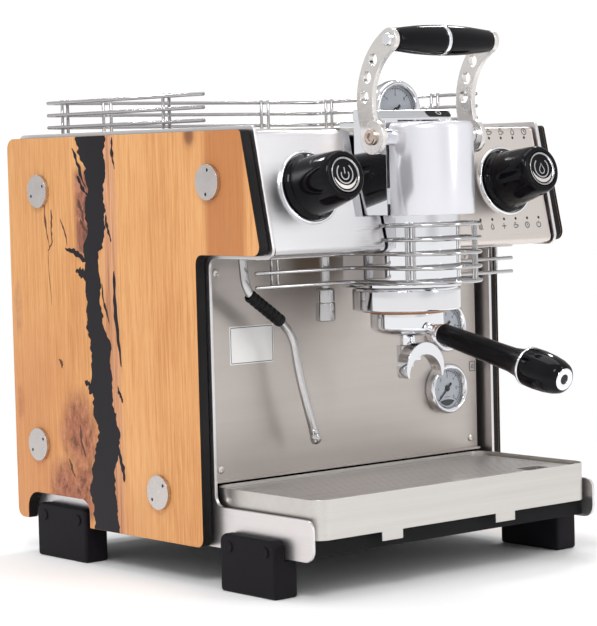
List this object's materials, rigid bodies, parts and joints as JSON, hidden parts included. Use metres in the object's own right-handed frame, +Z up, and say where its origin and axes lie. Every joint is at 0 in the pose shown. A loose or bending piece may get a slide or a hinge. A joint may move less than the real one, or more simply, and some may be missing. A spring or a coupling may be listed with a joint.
{
  "type": "espresso machine",
  "caption": "Home espresso machine with wood side panels, lever group, two valve knobs, steam wand, portafilter and slide-out drip tray.",
  "frame": {"origin": "centre of the footprint of the whole machine, with its portafilter handle, on the surface that the feet stand on", "axes": "+X to the machine's right as its user sees it, +Y towards its back, +Z up"},
  "size_m": [0.374, 0.5562, 0.4845],
  "materials": {
    "oak": "oiled oak with a black resin river",
    "black_board": "matt black",
    "brushed_steel": "fine brushed",
    "satin_steel": "satin",
    "polished_steel": "mirror polished",
    "bolt_steel": "satin",
    "foot_rubber": "matt",
    "black_pan": "satin black",
    "copper_seal": "dull copper",
    "brass": "as cast",
    "dial": "matt white",
    "gauge_glass": "clear",
    "needle_black": "matt black",
    "gloss_black": "high gloss",
    "wand_rubber": "ribbed, matt",
    "tank_plastic": "translucent",
    "service_black": "moulded"
  },
  "bodies": {
    "housing": {"wood_panel_left": "oak", "wood_panel_right": "oak", "core_board_left": "black_board", "core_board_right": "black_board", "side_plate_left": "brushed_steel", "side_plate_right": "brushed_steel", "backsplash": "brushed_steel", "front_panel": "brushed_steel", "rear_panel": "brushed_steel", "head_floor": "brushed_steel", "top_deck": "brushed_steel", "standoffs": "satin_steel", "backsplash_screws": "satin_steel", "wire_guard": "polished_steel", "group_housing": "polished_steel", "group_cover": "polished_steel", "group_cap": "polished_steel", "group_body": "polished_steel", "group_bell": "polished_steel", "gauge_cases": "polished_steel", "knob_bezels": "polished_steel", "wand_socket": "polished_steel", "water_spout": "polished_steel", "shower_screen": "polished_steel", "foot_front_left": "foot_rubber", "foot_front_right": "foot_rubber", "foot_rear_left": "foot_rubber", "foot_rear_right": "foot_rubber", "foot_plugs": "foot_rubber", "base_pan": "black_pan", "chassis": "black_pan", "seal_ring": "copper_seal", "group_boiler": "brass", "valve_bodies": "brass", "steam_boiler": "brass", "gauge_dials": "dial", "gauge_glasses": "gauge_glass", "water_tank": "tank_plastic", "service_block": "service_black"},
    "lever": {"lever_arms": "satin_steel", "lever_shaft": "bolt_steel", "lever_grip": "gloss_black", "lever_grip_rod": "polished_steel"},
    "steam_knob": {"knob_left": "gloss_black"},
    "power_button": {"knob_button": "polished_steel"},
    "water_knob": {"knob_right": "gloss_black", "knob_cap_right": "polished_steel"},
    "steam_wand": {"wand_tube": "polished_steel", "wand_grip": "wand_rubber"},
    "portafilter": {"portafilter_head": "polished_steel", "portafilter_spout": "polished_steel", "portafilter_handle": "gloss_black", "filter_basket": "polished_steel"},
    "tray": {"drip_tray": "brushed_steel"},
    "grille": {"drip_grille": "brushed_steel"},
    "cup_shelf": {"cup_tray": "brushed_steel", "cup_rail": "polished_steel"},
    "brew_needle": {"needle_brew": "needle_black"},
    "upper_needle": {"needle_upper": "needle_black"},
    "lower_needle": {"needle_lower": "needle_black"}
  },
  "joints": [
    {"name": "lever_turn", "type": "hinge", "parent": "housing", "child": "lever", "pos_m": [0, -0.11086, 0.388], "axis": [1, 0, 0], "range_deg": [-20, 40]},
    {"name": "steam_knob_turn", "type": "hinge", "parent": "housing", "child": "steam_knob", "pos_m": [-0.118, -0.09127, 0.34611], "axis": [0, -0.9758, 0.2189], "range_deg": [0, 180]},
    {"name": "power_button_push", "type": "slide", "parent": "steam_knob", "child": "power_button", "axis": [0, 0.9758, -0.2189], "range_m": [0, 0.002], "stiffness_N_per_m": 600},
    {"name": "water_knob_turn", "type": "hinge", "parent": "housing", "child": "water_knob", "pos_m": [0.118, -0.09127, 0.34611], "axis": [0, -0.9758, 0.2189], "range_deg": [0, 180]},
    {"name": "wand_swing", "type": "hinge", "parent": "housing", "child": "steam_wand", "pos_m": [-0.1475, -0.03386, 0.292], "axis": [0, 0, 1], "range_deg": [-90, 10]},
    {"name": "portafilter_turn", "type": "hinge", "parent": "housing", "child": "portafilter", "pos_m": [0, -0.08336, 0.24], "axis": [0, 0, 1], "range_deg": [-45, 0]},
    {"name": "tray_slide", "type": "slide", "parent": "housing", "child": "tray", "axis": [0, -1, 0], "range_m": [0, 0.13]},
    {"name": "grille_lift", "type": "slide", "parent": "tray", "child": "grille", "axis": [0, 0, 1], "range_m": [0, 0.03]},
    {"name": "cup_shelf_lift", "type": "slide", "parent": "housing", "child": "cup_shelf", "axis": [0, 0, 1], "range_m": [0, 0.05]},
    {"name": "brew_needle_turn", "type": "hinge", "parent": "housing", "child": "brew_needle", "pos_m": [0, -0.06986, 0.412], "axis": [0, 1, 0], "range_deg": [0, 270], "stiffness_Nm_per_rad": 0.0002},
    {"name": "upper_needle_turn", "type": "hinge", "parent": "housing", "child": "upper_needle", "pos_m": [0.119, -0.00336, 0.2088], "axis": [0, 1, 0], "range_deg": [0, 270], "stiffness_Nm_per_rad": 0.0002},
    {"name": "lower_needle_turn", "type": "hinge", "parent": "housing", "child": "lower_needle", "pos_m": [0.119, -0.00336, 0.1497], "axis": [0, 1, 0], "range_deg": [0, 270], "stiffness_Nm_per_rad": 0.0002}
  ]
}
